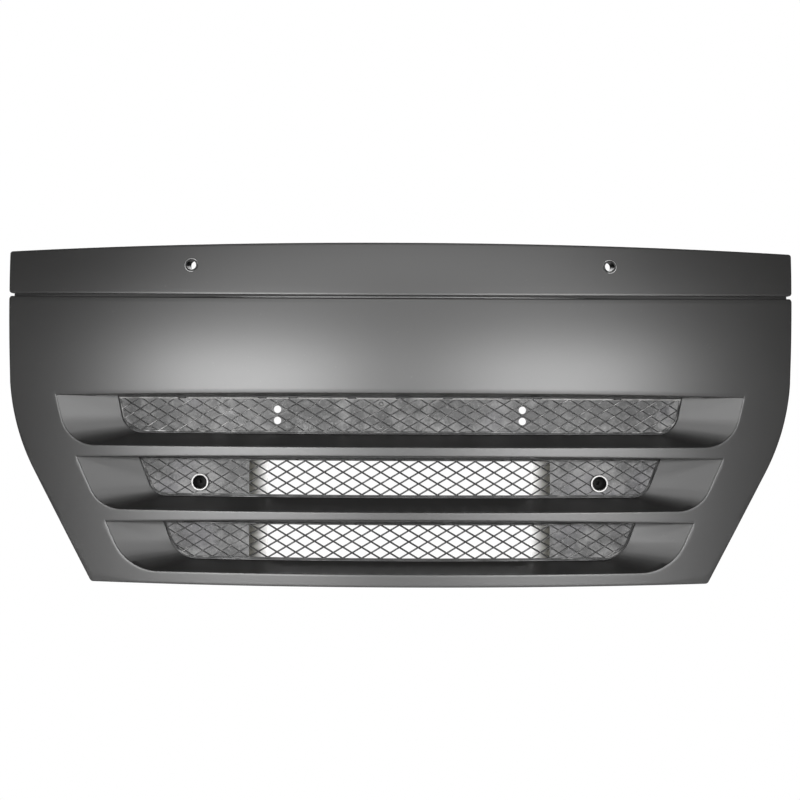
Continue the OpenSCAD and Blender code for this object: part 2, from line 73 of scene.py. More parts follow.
def bow(x, radius):
    # how far an arc about the bow's axis has fallen back at distance x from the centre
    return shape["bowR"] - np.sqrt(radius ** 2 - np.asarray(x) ** 2)


def faceBack(x, z):
    # setback of the outer face: the bow's arc, its radius shortened by the lean at that height
    return bow(x, shape["bowR"] - lean(z))


def flared(x, z):
    # above flareZ the sides stand further out: the shift grows evenly with height and with the 4th power
    # of the distance from the centre
    rise = np.clip((z - shape["flareZ"]) / (shape["flareTop"] - shape["flareZ"]), 0, 1)
    return x + np.sign(x) * shape["flare"] * rise * (np.abs(x) / halfW) ** 4


def onFace(x, z, back=0.0):
    # a point on the outer face, moved sideways by the flare and set back by the face's own fall plus back
    wide = flared(x, z)
    return onPanel(wide, faceBack(wide, z) + back, z)


def gridFaces(rows, columns, closed=False, offset=0):
    # quads between neighbouring rows and columns; closed joins the last column to the first
    r, c = np.meshgrid(np.arange(rows - 1), np.arange(columns if closed else columns - 1), indexing="ij")
    n = (c + 1) % columns
    quads = np.stack([r * columns + c, r * columns + n, (r + 1) * columns + n, (r + 1) * columns + c], -1)
    return quads.reshape(-1, 4) + offset


class Sheet:
    # gathers patches of one piece, then welds them into a mesh
    def __init__(self):
        self.points, self.faces, self.count = [], [], 0

    def grid(self, points, closed=False, flip=False):
        # adds an array of rows and columns of points, joined by quads
        rows, columns = points.shape[:2]
        faces = gridFaces(rows, columns, closed, self.count)
        self.faces += (faces[:, ::-1] if flip else faces).tolist()
        self.points.append(points.reshape(-1, 3))
        self.count += rows * columns

    def loops(self, points, faces):
        # adds loose points with their own faces, each a list of point numbers
        self.faces += [[i + self.count for i in face] for face in faces]
        self.points.append(points)
        self.count += len(points)

    def build(self, name, weld=2e-5, wall=0.0, sharp=38):
        # merges points closer than weld, thickens the sheet inwards by wall, creases edges over sharp degrees
        data = bpy.data.meshes.new(name)
        data.from_pydata(np.concatenate(self.points), [], self.faces)
        work = bmesh.new()
        work.from_mesh(data)
        bmesh.ops.remove_doubles(work, verts=work.verts, dist=weld)
        bmesh.ops.dissolve_degenerate(work, edges=work.edges, dist=weld)
        work.to_mesh(data)
        work.free()
        piece = bpy.data.objects.new(name, data)
        bpy.context.scene.collection.objects.link(piece)
        if wall:
            solid = piece.modifiers.new("wall", "SOLIDIFY")
            solid.thickness, solid.offset, solid.use_even_offset = wall, -1, False
            graph = bpy.context.evaluated_depsgraph_get()
            data = bpy.data.meshes.new_from_object(piece.evaluated_get(graph))
            piece.modifiers.clear()
            piece.data = data
        data.shade_smooth()
        data.set_sharp_from_angle(angle=math.radians(sharp))
        return piece


def finishPiece(piece, body, slot, material, *nodes):
    # gives a piece its material and its body, and hides the frame nodes that it stands for; slot is not used
    piece.data.materials.clear()
    piece.data.materials.append(material)
    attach(piece, body)
    if nodes:
        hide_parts(*nodes)
    return piece


class Value:
    # a socket that can be added, subtracted and multiplied in Python
    def __init__(self, finish, socket):
        self.finish, self.socket = finish, socket

    def maths(self, operation, *values):
        # one Math node on the values given, or on this one alone
        inputs = dict(enumerate(values or (self,)))
        return self.finish.node("ShaderNodeMath", {"operation": operation}, inputs)

    def __add__(self, other): return self.maths("ADD", self, other)
    def __radd__(self, other): return self.maths("ADD", other, self)
    def __sub__(self, other): return self.maths("SUBTRACT", self, other)
    def __rsub__(self, other): return self.maths("SUBTRACT", other, self)
    def __mul__(self, other): return self.maths("MULTIPLY", self, other)
    def __rmul__(self, other): return self.maths("MULTIPLY", other, self)
    def size(self): return self.maths("ABSOLUTE")
    def root(self): return self.maths("SQRT")


class Finish:
    # one material: a principled shader whose constant sockets are given by name
    def __init__(self, name, **fixed):
        self.material = bpy.data.materials.new(name)
        self.material.use_nodes = True
        self.tree = self.material.node_tree
        self.tree.nodes.clear()
        self.out = self.tree.nodes.new("ShaderNodeOutputMaterial")
        self.shader = self.tree.nodes.new("ShaderNodeBsdfPrincipled")
        self.tree.links.new(self.shader.outputs[0], self.out.inputs["Surface"])
        for key, value in fixed.items():
            self.shader.inputs[key.replace("_", " ")].default_value = value

    def node(self, kind, settings=None, inputs=None, output=0):
        # any node: its type, its settings, then the values or links of its sockets
        made = self.tree.nodes.new(kind)
        for key, value in (settings or {}).items():
            setattr(made, key, value)
        for key, value in (inputs or {}).items():
            if isinstance(value, Value):
                self.tree.links.new(value.socket, made.inputs[key])
            else:
                made.inputs[key].default_value = value
        return Value(self, made.outputs[output])

    def place(self):
        # object coordinates
        return self.node("ShaderNodeTexCoord", output="Object")

    def axes(self):
        # the three object coordinates, one value each
        split = self.node("ShaderNodeSeparateXYZ", inputs={0: self.place()}).socket.node
        return [Value(self, out) for out in split.outputs]

    def noise(self, scale, detail=3.0, rough=0.5, stretch=None):
        # noise with about scale bumps to the metre; stretch packs it closer along an axis
        where = self.place()
        if stretch:
            where = self.node("ShaderNodeMapping", inputs={"Vector": where, "Scale": stretch})
        return self.node("ShaderNodeTexNoise", inputs={"Vector": where, "Scale": scale, "Detail": detail,
                                                       "Roughness": rough})

    def spread(self, value, low, high, first=0.0, last=1.0):
        # carries value from low..high to first..last, held at both ends
        return self.node("ShaderNodeMapRange", inputs={"Value": value, "From Min": low, "From Max": high,
                                                       "To Min": first, "To Max": last})

    def blend(self, amount, first, second):
        # a colour between first and second
        return self.node("ShaderNodeMix", {"data_type": "RGBA"}, {0: amount, 6: first, 7: second}, output=2)

    def feed(self, **links):
        # links values to the shader's sockets by name
        for key, value in links.items():
            self.tree.links.new(value.socket, self.shader.inputs[key.replace("_", " ")])
        return self

    def bump(self, height, distance):
        # height 0..1 raised by distance in metres
        normal = self.node("ShaderNodeBump", inputs={"Height": height, "Distance": distance, "Strength": 1.0})
        return self.feed(Normal=normal)


def grey(level, warm=0.0):
    # a grey of the given level, its red raised and its blue lowered by the share warm
    return (level * (1 + warm), level, level * (1 - warm), 1.0)


def primerFinish():
    # satin primer: even dark grey with faint clouding, fine peel, dust specks and a few light scratches
    finish = Finish("satinPrimer", Specular_IOR_Level=0.8)
    cloud = finish.noise(2.3, 2.0)
    fine = finish.noise(900.0, 2.0, 0.6)
    dust = finish.spread(finish.noise(160.0, 2.0, 0.5), 0.70, 0.78)
    scratch = finish.spread(finish.noise(7.0, 6.0, 0.75, stretch=(1.0, 1.0, 14.0)), 0.715, 0.76)
    base = finish.blend(finish.spread(cloud, 0.3, 0.7), grey(0.0075, 0.02), grey(0.0105, 0.03))
    base = finish.blend(dust * 0.10, base, grey(0.14, 0.02))
    base = finish.blend(scratch * 0.08, base, grey(0.12, 0.02))
    finish.feed(Base_Color=base, Roughness=finish.spread(fine, 0.3, 0.7, 0.36, 0.44) + dust * 0.1)
    return finish.bump(finish.noise(420.0, 3.0, 0.55) + fine * 0.4, 0.00002).material


def metalFinish(name, level, rough, brushed=(1.0, 1.0, 1.0), warm=0.0):
    # bare or plated metal: stains shift its level, fine grain its roughness
    finish = Finish(name, Metallic=1.0)
    grain = finish.noise(600.0, 3.0, 0.6, stretch=brushed)
    stain = finish.noise(45.0, 4.0, 0.6)
    base = finish.blend(finish.spread(stain, 0.35, 0.7), grey(level, warm), grey(level * 0.72, warm))
    finish.feed(Base_Color=base, Roughness=finish.spread(grain, 0.3, 0.7, rough - 0.06, rough + 0.08))
    return finish.bump(grain, 0.00001).material


def coatFinish(name, level, rough):
    # dip paint over steel: clouds of rubbed, paler and rougher paint, with a slight peel
    finish = Finish(name, Specular_IOR_Level=0.5)
    cloud = finish.noise(30.0, 4.0, 0.6)
    peel = finish.noise(350.0, 2.0, 0.5)
    base = finish.blend(finish.spread(cloud, 0.4, 0.75), grey(level), grey(level * 1.7, 0.02))
    finish.feed(Base_Color=base, Roughness=finish.spread(cloud, 0.3, 0.7, rough - 0.05, rough + 0.1))
    return finish.bump(peel, 0.00006).material


def rubberFinish(name, level):
    # matt rubber or foam with a pale bloom in clouds
    finish = Finish(name, Specular_IOR_Level=0.35)
    cloud = finish.noise(60.0, 4.0, 0.7)
    base = finish.blend(finish.spread(cloud, 0.3, 0.75), grey(level), grey(level * 2.2, 0.02))
    finish.feed(Base_Color=base, Roughness=finish.spread(cloud, 0.3, 0.7, 0.65, 0.85))
    return finish.bump(finish.noise(500.0, 3.0, 0.6), 0.00008).material


primer = primerFinish()
zinc = metalFinish("zincPlate", 0.55, 0.34, warm=0.01)
springSteel = metalFinish("springSteel", 0.22, 0.38)
collarMetal = metalFinish("collarMetal", 0.07, 0.38)
camSteel = metalFinish("camSteel", 0.42, 0.36, warm=0.01)
bronze = metalFinish("bushBronze", 0.42, 0.40, warm=0.25)
pinSteel = metalFinish("pinSteel", 0.55, 0.22, (12.0, 1.0, 1.0))
railPaint = coatFinish("railPaint", 0.012, 0.42)
phosphate = metalFinish("blackPhosphate", 0.018, 0.56)
rubber = rubberFinish("bufferRubber", 0.010)
foam = rubberFinish("sealFoam", 0.008)
print("materials made")


# An edge seen from the front runs flat from the middle, round a corner arc, then straight up to its end.
# Its parameter u is 0..1 on the flat, 1..2 on the arc and 2..3 on the straight end.
def risingEdge(half, low, high, slant, radius, grow=0.0):
    # edge of a slot: flat at height low, a corner of the given radius, then an end slanting out to
    # (half, high); grow moves the whole edge outwards
    slant = math.radians(slant)
    footX = half - (high - low) * math.tan(slant)
    footX += grow / math.cos(slant) - grow * math.tan(slant)
    half = half + grow / math.cos(slant) + grow * math.tan(slant)
    low, high, radius = low - grow, high + grow, radius + grow
    slant = math.atan2(half - footX, high - low)
    reach = radius / math.tan((math.pi / 2 + slant) / 2)
    return {"half": half, "low": low, "high": high, "slant": slant, "radius": radius,
            "flatX": footX - reach, "arcX": footX + reach * math.sin(slant),
            "arcZ": low + reach * math.cos(slant)}


def edgeHeight(edge, x):
    # height of the edge at distance x from the centre: low, then the circle's lower quarter, then the line
    x = np.abs(x)
    arc = edge["low"] + edge["radius"] - np.sqrt(
        np.clip(edge["radius"] ** 2 - np.clip(x - edge["flatX"], 0, None) ** 2, 0, None))
    line = edge["arcZ"] + (x - edge["arcX"]) / math.tan(edge["slant"])
    return np.where(x <= edge["flatX"], edge["low"], np.where(x <= edge["arcX"], arc, line))


def edgeParameter(edge, x):
    # parameter u of the edge at distance x: the share of the flat, of the arc's angle or of the straight end
    size = np.abs(x)
    turn = np.arcsin(np.clip((size - edge["flatX"]) / edge["radius"], 0, 1))
    u = np.where(size <= edge["flatX"], size / edge["flatX"],
                 np.where(size <= edge["arcX"], 1 + turn / (math.pi / 2 - edge["slant"]),
                          2 + (size - edge["arcX"]) / (edge["half"] - edge["arcX"])))
    return u * np.sign(x)


def edgePoint(edge, u):
    # x and z of the edge at parameter u
    size = np.abs(u)
    turn = np.clip(size - 1, 0, 1) * (math.pi / 2 - edge["slant"])
    x = np.where(size <= 1, size * edge["flatX"],
                 np.where(size <= 2, edge["flatX"] + edge["radius"] * np.sin(turn),
                          edge["arcX"] + (size - 2) * (edge["half"] - edge["arcX"])))
    return x * np.sign(u), edgeHeight(edge, x)


def edgeSamples(edge, arcs=14, lines=12):
    # distances from the centre, evenly stepped round the arc and up the straight end
    u = np.concatenate([np.linspace(1, 2, arcs, endpoint=False), np.linspace(2, 3, lines)])
    return edgePoint(edge, u)[0]


# from the top slot down; open is the half width of the open mesh
slots = [
    {"name": "Top", "node": "grille_insert_top", "half": 0.704, "low": 0.278, "top": 0.3838, "slant": 14,
     "corner": 0.075, "fall": 0.005, "insertHalf": 0.581, "insertLow": 0.302, "insertTop": 0.378,
     "insertSlant": 11.6, "insertCorner": 0.045, "open": 0.0, "guides": False},
    {"name": "Middle", "node": "grille_insert_middle", "half": 0.658, "low": 0.149, "top": 0.2585,
     "slant": 25, "corner": 0.072, "fall": 0.006, "insertHalf": 0.536, "insertLow": 0.174,
     "insertTop": 0.254, "insertSlant": 22, "insertCorner": 0.038, "open": 0.304, "guides": True},
    {"name": "Bottom", "node": "grille_insert_bottom", "half": 0.595, "low": 0.026, "top": 0.1320,
     "slant": 25, "corner": 0.100, "fall": 0.010, "insertHalf": 0.484, "insertLow": 0.047,
     "insertTop": 0.125, "insertSlant": 21, "insertCorner": 0.062, "open": 0.304, "guides": False},
]
panel = {
    "jointLow": 0.573, "jointHigh": 0.579, "jointRise": 0.012, "notch": 0.010, "notchR": 0.004,
    "sideR": 0.430, "sideZ": 0.437, "taper": 29.4, "cornerR": 0.008,
    "lipR": 0.0022, "edgeR": 0.0022, "returnD": 0.024, "flangeR": shape["bowR"] - 0.028, "flangeTop": 0.605,
    "bandRows": (8, 9, 9, 22), "wallRows": 9,
    "jointD": 0.0075,  # depth of the edge turned back at the joint
    "endX": 0.006,  # width of each end of the joint that is turned back in full
    "seatD": 0.0025,  # how far a slot's wall runs past the front of its insert
    "columnGap": 0.0006,  # least distance between two columns of the face
    "bend": [(0.0004, 0.0008), (0.0014, 0.0)],  # flange's lower bend: rise, and distance short of the flange
}


def slotEdge(slot, grow=0.0):
    # the slot's outline on the face, moved outwards by grow
    high = slot["top"] - slot["fall"]
    return risingEdge(slot["half"], slot["low"], high, slot["slant"], slot["corner"], grow)


def slotTop(slot, edge, x, grow=0.0):
    # height of the slot's upper edge: it falls by the square of the distance from the centre
    return slot["top"] + grow - slot["fall"] * np.clip(np.abs(x) / edge["half"], 0, 1) ** 2


def insertEdge(slot, grow=0.0):
    # the outline of the visible part of the slot's insert, moved outwards by grow
    return risingEdge(slot["insertHalf"], slot["insertLow"], slot["insertTop"], slot["insertSlant"],
                      slot["insertCorner"], grow)


def outerEdge(x, inset):
    # lower edge of the panel: flat, small corner, straight taper, then the arc that ends upright
    x = np.abs(x)
    taper, big = math.radians(panel["taper"]), panel["sideR"] - inset
    centreX = halfW - panel["sideR"]
    arcX, arcZ = centreX + big * math.cos(taper), panel["sideZ"] - big * math.sin(taper)
    footX = arcX - (arcZ - inset) * math.tan(taper)
    small = panel["cornerR"] - inset
    reach = small / math.tan((math.pi / 2 + taper) / 2)
    corner = inset + small - np.sqrt(np.clip(small ** 2 - np.clip(x - footX + reach, 0, small) ** 2, 0, None))
    line = inset + (x - footX) / math.tan(taper)
    arc = panel["sideZ"] - np.sqrt(np.clip(big ** 2 - np.clip(x - centreX, 0, big) ** 2, 0, None))
    z = np.where(x <= footX + reach * math.sin(taper), corner, np.where(x <= arcX, line, arc))
    angles = np.linspace(taper, 0, 22)
    marks = np.concatenate([np.linspace(footX - reach, footX + reach * math.sin(taper), 6),
                            np.linspace(footX + reach, arcX, 14), centreX + big * np.cos(angles)])
    return z, marks


def columns():
    # distances from the centre at which the face is cut into columns: even steps, and more where an edge
    # turns, less those that lie within columnGap of one already kept
    inset = panel["edgeR"]
    must = [slotEdge(slot, panel["lipR"])["half"] for slot in slots] + [halfW - inset, halfW - panel["notch"]]
    marks = [edgeSamples(slotEdge(slot, panel["lipR"])) for slot in slots]
    marks += [outerEdge(np.zeros(1), inset)[1], np.linspace(0, halfW - inset, 62)]
    marks += [halfW - inset - panel["notchR"] * (1 - np.cos(np.linspace(0, math.pi / 2, 5)))]
    loose = np.sort(np.concatenate(marks))
    kept = sorted(must)
    for mark in loose:
        if min(abs(mark - k) for k in kept) > panel["columnGap"] and mark < halfW - inset:
            kept.append(mark)
    right = np.array(sorted(kept))
    right = right[right > 1e-6]
    return np.concatenate([-right[::-1], [0.0], right])


def jointLine(x, height):
    # the joint rises by the square of the distance from the centre; drop is how far a round corner at its
    # end has turned away from it
    limit, radius = halfW - panel["edgeR"], panel["notchR"]
    past = np.clip(np.abs(x) - limit + radius, 0, radius)
    drop = radius - np.sqrt(np.clip(radius ** 2 - past ** 2, 0, None))
    return height + panel["jointRise"] * (x / halfW) ** 2, drop


def sideNormals(path):
    # unit normals in the front view, to the right of the way the closed path runs
    step = np.roll(path, -1, axis=0) - np.roll(path, 1, axis=0)
    normal = np.stack([step[:, 1], -step[:, 0]], -1)
    return normal / np.linalg.norm(normal, axis=1, keepdims=True)


def filletRows(path, normal, radius, sign, rows=4):
    # quarter round from the face, turning back: at angle a it has moved along the normal by the radius
    # times sin a, and back by the radius times 1 - cos a
    for a in np.linspace(0, math.pi / 2, rows):
        moved = path + sign * normal * radius * math.sin(a)
        yield moved, radius * (1 - math.cos(a))


def panelFace():
    # bands of the bowed face between the joint, the slots and the lower edge, each a straight blend in
    # height from one edge to the next, then the slots' walls, the turned-back edge and the flange
    x = columns()
    sheet = Sheet()
    inset, lip = panel["edgeR"], panel["lipR"]
    lowest = outerEdge(x, inset)[0]
    joint, drop = jointLine(x, panel["jointLow"] - inset)
    joint = joint - drop
    levels = [(lowest, lowest)]
    for slot in reversed(slots):
        edge = slotEdge(slot, lip)
        inside = np.abs(x) <= edge["half"] + 1e-9
        slit = slot["top"] - slot["fall"] + lip
        low = np.where(inside, np.minimum(edgeHeight(edge, x), slit), slit)
        top = np.where(inside, slotTop(slot, edge, x, lip), slit)
        levels.append((np.maximum(low, lowest), np.maximum(top, lowest)))
    levels.append((joint, joint))
    for rows, below, above in zip(panel["bandRows"], levels[:-1], levels[1:]):
        t = np.linspace(0, 1, rows)[:, None]
        z = below[1] * (1 - t) + above[0] * t
        across = np.broadcast_to(x, z.shape)
        sheet.grid(onFace(across, z))
    for slot, level in zip(reversed(slots), levels[1:-1]):
        slotTray(sheet, slot, x, level)
    # turned-back edge: down the left side, along the lower edge, up the right side, then back along the joint
    sideRows = np.linspace(0, 1, panel["bandRows"][-1])
    t = sideRows[::-1][:-1]
    leftZ = lowest[0] + (joint[0] - lowest[0]) * t
    rightZ = lowest[-1] + (joint[-1] - lowest[-1]) * sideRows[1:]
    path = np.concatenate([np.stack([np.full(len(leftZ), x[0]), leftZ], -1), np.stack([x, lowest], -1),
                           np.stack([np.full(len(rightZ), x[-1]), rightZ], -1),
                           np.stack([x[::-1][1:-1], joint[::-1][1:-1]], -1)])
    normal = sideNormals(path)
    onJoint = (path[:, 1] > joint.min() - 1e-6) & (np.abs(path[:, 0]) < halfW - panel["endX"])
    depth = np.where(onJoint, panel["jointD"], panel["returnD"])
    rows = list(filletRows(path, normal, inset, 1))
    moved, back = rows[-1]
    rows += [(moved, back + depth * s) for s in (0.08, 0.5, 1.0)]
    sheet.grid(np.stack([onFace(p[:, 0], p[:, 1], back) for p, back in rows[::-1]]), closed=True)
    # flange behind the strip: from the joint back to flangeR, then up to flangeTop
    reach = np.abs(x) <= halfW - panel["notch"] + 1e-9
    fx, fz = x[reach], (joint + inset)[reach]
    fx = flared(fx, fz)
    start = faceBack(fx, fz) + inset + panel["jointD"]
    deep = bow(fx, panel["flangeR"])
    top = panel["flangeTop"]
    flange = [(fz, start)] + [(fz + rise, deep - short) for rise, short in panel["bend"]]
    flange += [(fz * 0.5 + top * 0.5, deep), (np.full_like(fz, top), deep)]
    sheet.grid(np.stack([onPanel(fx, y, z) for z, y in flange]))
    piece = sheet.build("panelFace", wall=shape["wall"])
    return finishPiece(piece, "flap", "panel_primer", primer, "main_panel")


def slotTray(sheet, slot, x, level):
    # walls of a slot: a ruled surface from the slot's outline on the face to the insert's outline behind
    lip = panel["lipR"]
    edge, inner = slotEdge(slot, lip), insertEdge(slot)
    span = np.abs(x) <= edge["half"] + 1e-9
    bottomX, topX = x[span], x[span][::-1][1:-1]
    path = np.concatenate([np.stack([bottomX, level[0][span]], -1),
                           np.stack([topX, level[1][span][::-1][1:-1]], -1)])
    normal = sideNormals(path)
    u = edgeParameter(edge, bottomX)
    u[0], u[-1] = -3, 3
    lowX, lowZ = edgePoint(inner, u)
    share = topX / edge["half"]
    goal = np.concatenate([np.stack([lowX, lowZ], -1),
                           np.stack([share * inner["half"], np.full_like(share, slot["insertTop"])], -1)])
    goalY = bow(goal[:, 0], rearR)
    rows = list(filletRows(path, normal, lip, -1))
    rows = [(p, faceBack(p[:, 0], p[:, 1]) + back) for p, back in rows]
    start, startY = rows[-1]
    for s in np.linspace(0, 1, panel["wallRows"])[1:]:
        rows.append((start * (1 - s) + goal * s, startY * (1 - s) + goalY * s))
    rows += [(goal, goalY + panel["seatD"])]
    sheet.grid(np.stack([onPanel(p[:, 0], y, p[:, 1]) for p, y in rows]), closed=True)


panelPiece = panelFace()
print("panel made", len(panelPiece.data.polygons))


def ringPatch(sheet, loop, centre, radius, place, rows):
    # fills the space between a rectangular loop of grid points and a round hole, ray by ray
    angle = np.arctan2(loop[:, 1] - centre[1], loop[:, 0] - centre[0])
    circle = np.stack([centre[0] + radius * np.cos(angle), centre[1] + radius * np.sin(angle)], -1)
    patch = [loop * (1 - s) + circle * s for s in np.linspace(0, 1, rows)]
    sheet.grid(np.stack([place(p[:, 0], p[:, 1]) for p in patch]), closed=True)
    return circle


def holedGrid(sheet, across, height, place, holes, radius, rows=4, reach=1.9):
    # grid of points with a square window, reach times the radius each way, left out round each hole and
    # filled by a ring
    points = place(across, height)
    faces = gridFaces(*across.shape)
    keep = np.ones(len(faces), bool)
    loops = []
    for hole in holes:
        i = np.abs(across[0] - hole[0])
        j = np.abs(height[:, np.argmin(i)] - hole[1])
        c = np.where(i <= radius * reach)[0]
        r = np.where(j <= radius * reach)[0]
        c0, c1, r0, r1 = c[0], c[-1], r[0], r[-1]
        ring = [(r0, k) for k in range(c0, c1)] + [(k, c1) for k in range(r0, r1)]
        ring += [(r1, k) for k in range(c1, c0, -1)] + [(k, c0) for k in range(r1, r0, -1)]
        loops.append(np.array([[across[k], height[k]] for k in ring]))
        row, column = np.divmod(faces[:, 0], across.shape[1])
        keep &= ~((row >= r0) & (row < r1) & (column >= c0) & (column < c1))
    sheet.loops(points.reshape(-1, 3), faces[keep].tolist())
    return [ringPatch(sheet, loop, hole, radius, place, rows) for loop, hole in zip(loops, holes)]


strip = {
    "holeX": 0.422, "holeZ": 0.642, "holeR": 0.0137, "holeD": 0.002,
    "height": 0.686, "fall": 0.006,  # upper edge: height at the centre and fall at the ends
    "edgeR": 0.0020, "returnD": 0.017, "lowD": 0.004,  # turned-back edge: rounding, depth, depth at the joint
    "endR": 0.004, "lowRound": 0.9, "topRound": 0.6,  # ends: rounding, and its shares below and above
    "curlZ": 0.652, "curl": 0.0016,
    "columns": 110, "rows": 26,
}


def onStrip(x, z, back=0.0):
    # the strip's lower part curls back from the panel's face by the square of the distance below curlZ
    below = np.clip((strip["curlZ"] - z) / (strip["curlZ"] - panel["jointHigh"]), 0, None)
    return onFace(x, z, back + strip["curl"] * below ** 2)


def stripFace():
    # a straight blend in height from the joint to the upper edge, with two holes, then the turned-back edge
    inset, count, endR = strip["edgeR"], strip["rows"], strip["endR"]
    right = np.concatenate([np.linspace(0, halfW - inset - endR, strip["columns"]),
                            halfW - inset - endR * (1 - np.sin(np.linspace(0, math.pi / 2, 6)[1:]))])
    x = np.concatenate([-right[::-1], right[1:]])
    low, drop = jointLine(x, panel["jointHigh"] + inset)
    top = strip["height"] - strip["fall"] * (x / halfW) ** 2 - inset
    low, top = low + drop * strip["lowRound"], top - drop * strip["topRound"]
    t = np.linspace(0, 1, count)[:, None]
    height = low * (1 - t) + top * t
    across = np.broadcast_to(x, height.shape)
    sheet = Sheet()
    holes = [(-strip["holeX"], strip["holeZ"]), (strip["holeX"], strip["holeZ"])]
    circles = holedGrid(sheet, across, height, onStrip, holes, strip["holeR"])
    for circle in circles:
        lip = [onStrip(circle[:, 0], circle[:, 1], back) for back in (0.0, strip["holeD"])]
        sheet.grid(np.stack(lip), closed=True)
    down = np.linspace(1, 0, count)
    leftZ, rightZ = low[0] + (top[0] - low[0]) * down, low[-1] + (top[-1] - low[-1]) * down[::-1]
    path = np.concatenate([np.stack([np.full(count - 1, x[0]), leftZ[:-1]], -1), np.stack([x, low], -1),
                           np.stack([np.full(count - 1, x[-1]), rightZ[1:]], -1),
                           np.stack([x[::-1][1:-1], top[::-1][1:-1]], -1)])
    normal = sideNormals(path)
    rows = list(filletRows(path, normal, inset, 1))
    moved, back = rows[-1]
    onLow = path[:, 1] < low.max() + 1e-6
    onJoint = onLow & (np.abs(path[:, 0]) < halfW - panel["endX"])
    depth = np.where(onJoint, strip["lowD"], strip["returnD"])
    rows += [(moved, back + depth * s) for s in (0.1, 0.5, 1.0)]
    sheet.grid(np.stack([onStrip(p[:, 0], p[:, 1], back) for p, back in rows[::-1]]), closed=True)
    piece = sheet.build("stripFace", wall=shape["wall"])
    return finishPiece(piece, "flap", "panel_primer", primer, "upper_strip")


stripPiece = stripFace()
print("strip made", len(stripPiece.data.polygons))

guide = {
    "x": 0.405, "z": 0.203, "bore": 0.014, "outer": 0.0175, "flange": 0.020,
    "front": 0.088, "back": 0.123, "flangeFront": 0.111, "flangeBack": 0.113,  # behind the foremost point
    "round": 0.0012, "edge": 0.0004,  # rounding of the rim, and of its corners
}


def guideDistance(x, z):
    # distance from the axis of the nearer key guide, as a shader value: the root of the summed squares
    across, up = x.size() - guide["x"], z - (guide["z"] + footZ)
    return (across * across + up * up).root()


mesh = {
    "pitchX": 0.038, "pitchZ": 0.0226,  # one lozenge, centre to centre
    "deep": 0.0048, "shoulder": 0.0019,  # setback of a rib's foot and of its shoulder
    # for each way that ribs run: half widths at foot, shoulder and crown, and the crown's setback
    "ribs": {-1: (0.00170, 0.00120, 0.00055, 0.0004), 1: (0.00175, 0.00125, 0.00030, 0.0008)},
    "border": 0.0032, "gap": 0.0026, "borderTop": 0.0006, "borderSide": 0.0012,
    "lines": 80, "samples": 1200, "shortest": 20,  # ribs tried to each side, points tried and least on a rib
    "webT": 0.0014, "webBack": 0.0019, "guideGap": 0.0004,
    "badge": 0.0075, "badgeColumn": 13,  # radius of the badge holes, and their half pitches from the centre
    "rimOut": 0.010, "rimIn": 0.001, "rimFront": 0.0030, "rimStep": 0.0048, "rimBack": 0.0053,
    "clips": (0, 0.097, 0.215, 0.278, 0.443), "clipHalf": 0.0085, "clipDrop": 0.008, "notch": 0.0032,
    "webNotch": 0.0030,
    "ductReach": 0.036, "ductStart": 0.0062, "ductDeep": 0.026, "ductT": 0.0016, "ductInset": 0.003,
    # moulding marks: (radius, setback) round the section of a low ring
    "mark": [(0.0052, 0.0021), (0.0048, 0.0004), (0.0036, 0.0004), (0.0027, 0.0024), (0.0027, 0.0028),
             (0.0052, 0.0028)],
}
insertLook = {
    # the crown colour in the next line is a painted highlight
    "bare": 0.008, "dusty": 0.130, "fleck": 0.25, "rib": 0.0045, "rim": 0.17, "crown": 0.30, "hidden": 0.003,
    # the two duct colours: a painted shadow near the closed web and painted white light further in
    "damp": (0.020, 0.018, 0.026, 1.0), "ductShadow": (0.085, 0.082, 0.070, 1.0), "ductLight": 0.97,
    # setbacks between which a colour comes in
    "ribDepth": (0.00178, 0.00160), "crownDepth": (0.0009, 0.0005), "hiddenDepth": (0.0021, 0.0027),
    "ductDepth": (0.0056, 0.0062),
    # distances from the centre, and heights above the foot
    "ductX": (0.303, 0.268), "ductEnd": (0.330, 0.329), "closedX": (0.300, 0.308),
    "closedZ": (0.270, 0.280), "rimZ": (0.3714, 0.3722), "guideGlow": (0.065, 0.020),
}


